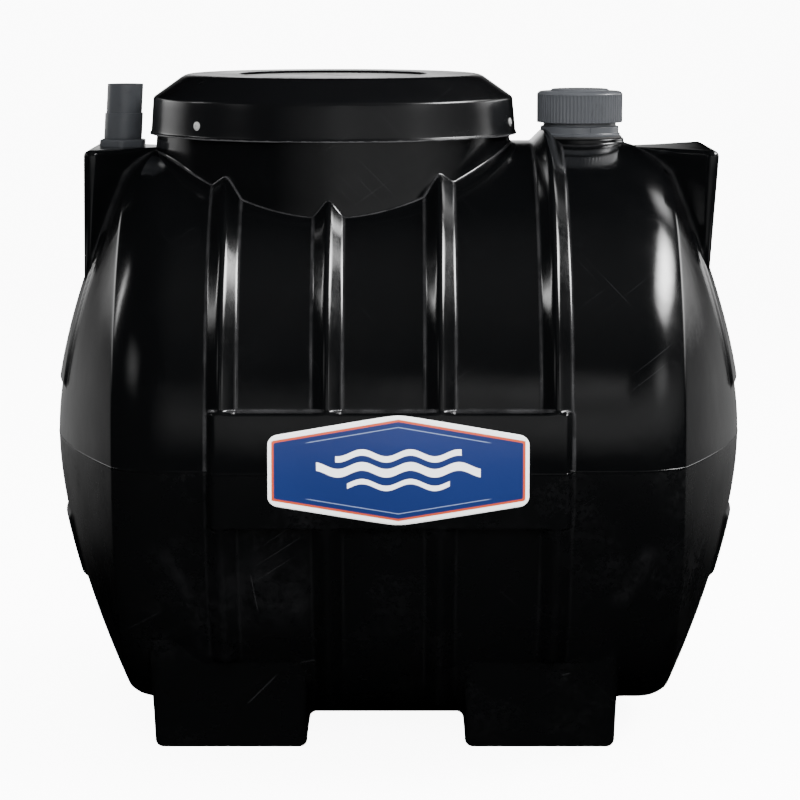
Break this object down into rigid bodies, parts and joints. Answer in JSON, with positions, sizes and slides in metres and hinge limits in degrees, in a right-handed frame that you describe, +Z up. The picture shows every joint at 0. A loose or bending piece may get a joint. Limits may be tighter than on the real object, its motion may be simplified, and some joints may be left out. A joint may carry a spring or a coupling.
{
  "type": "septic tank",
  "caption": "Horizontal barrel septic tank of moulded plastic on two feet, with ribbed sides, a round lidded manhole, shoulder boxes for pipes, a vent stub and a screw-capped clean-out.",
  "frame": {"origin": "on the ground under the middle of the tank", "axes": "+X along the barrel to the clean-out end, -Y to the labelled front, +Z up"},
  "size_m": [1.02, 0.8999, 0.9657],
  "materials": {
    "black_polyethylene": "glossy rotationally moulded black polyethylene, scuffed below the parting line",
    "lid_polyethylene": "satin to glossy moulded black polyethylene",
    "grey_upvc": "satin grey pipe fitting plastic",
    "gasket_rubber": "matt black rubber",
    "label_film": null
  },
  "bodies": {
    "root": {"upper_shell": "black_polyethylene", "lower_shell": "black_polyethylene", "left_end": "black_polyethylene", "right_end": "black_polyethylene", "left_end_rib_upper": "black_polyethylene", "left_end_rib_lower": "black_polyethylene", "right_end_rib_upper": "black_polyethylene", "right_end_rib_lower": "black_polyethylene", "front_pad": "black_polyethylene", "front_rib_upper_1": "black_polyethylene", "front_rib_upper_2": "black_polyethylene", "front_rib_upper_3": "black_polyethylene", "front_rib_upper_4": "black_polyethylene", "front_rib_lower_1": "black_polyethylene", "front_rib_lower_2": "black_polyethylene", "front_rib_lower_3": "black_polyethylene", "front_rib_lower_4": "black_polyethylene", "back_pad": "black_polyethylene", "back_rib_upper_1": "black_polyethylene", "back_rib_upper_2": "black_polyethylene", "back_rib_upper_3": "black_polyethylene", "back_rib_upper_4": "black_polyethylene", "back_rib_lower_1": "black_polyethylene", "back_rib_lower_2": "black_polyethylene", "back_rib_lower_3": "black_polyethylene", "back_rib_lower_4": "black_polyethylene", "left_foot": "black_polyethylene", "right_foot": "black_polyethylene", "left_box": "black_polyethylene", "right_box": "black_polyethylene", "manhole_neck": "black_polyethylene", "manhole_lid": "lid_polyethylene", "cleanout_boss": "black_polyethylene", "cleanout_gasket": "gasket_rubber", "cleanout_collar": "grey_upvc", "cleanout_cap": "grey_upvc", "vent_nut": "grey_upvc", "vent_socket": "grey_upvc", "vent_pipe": "grey_upvc", "label": "label_film"}
  },
  "joints": []
}
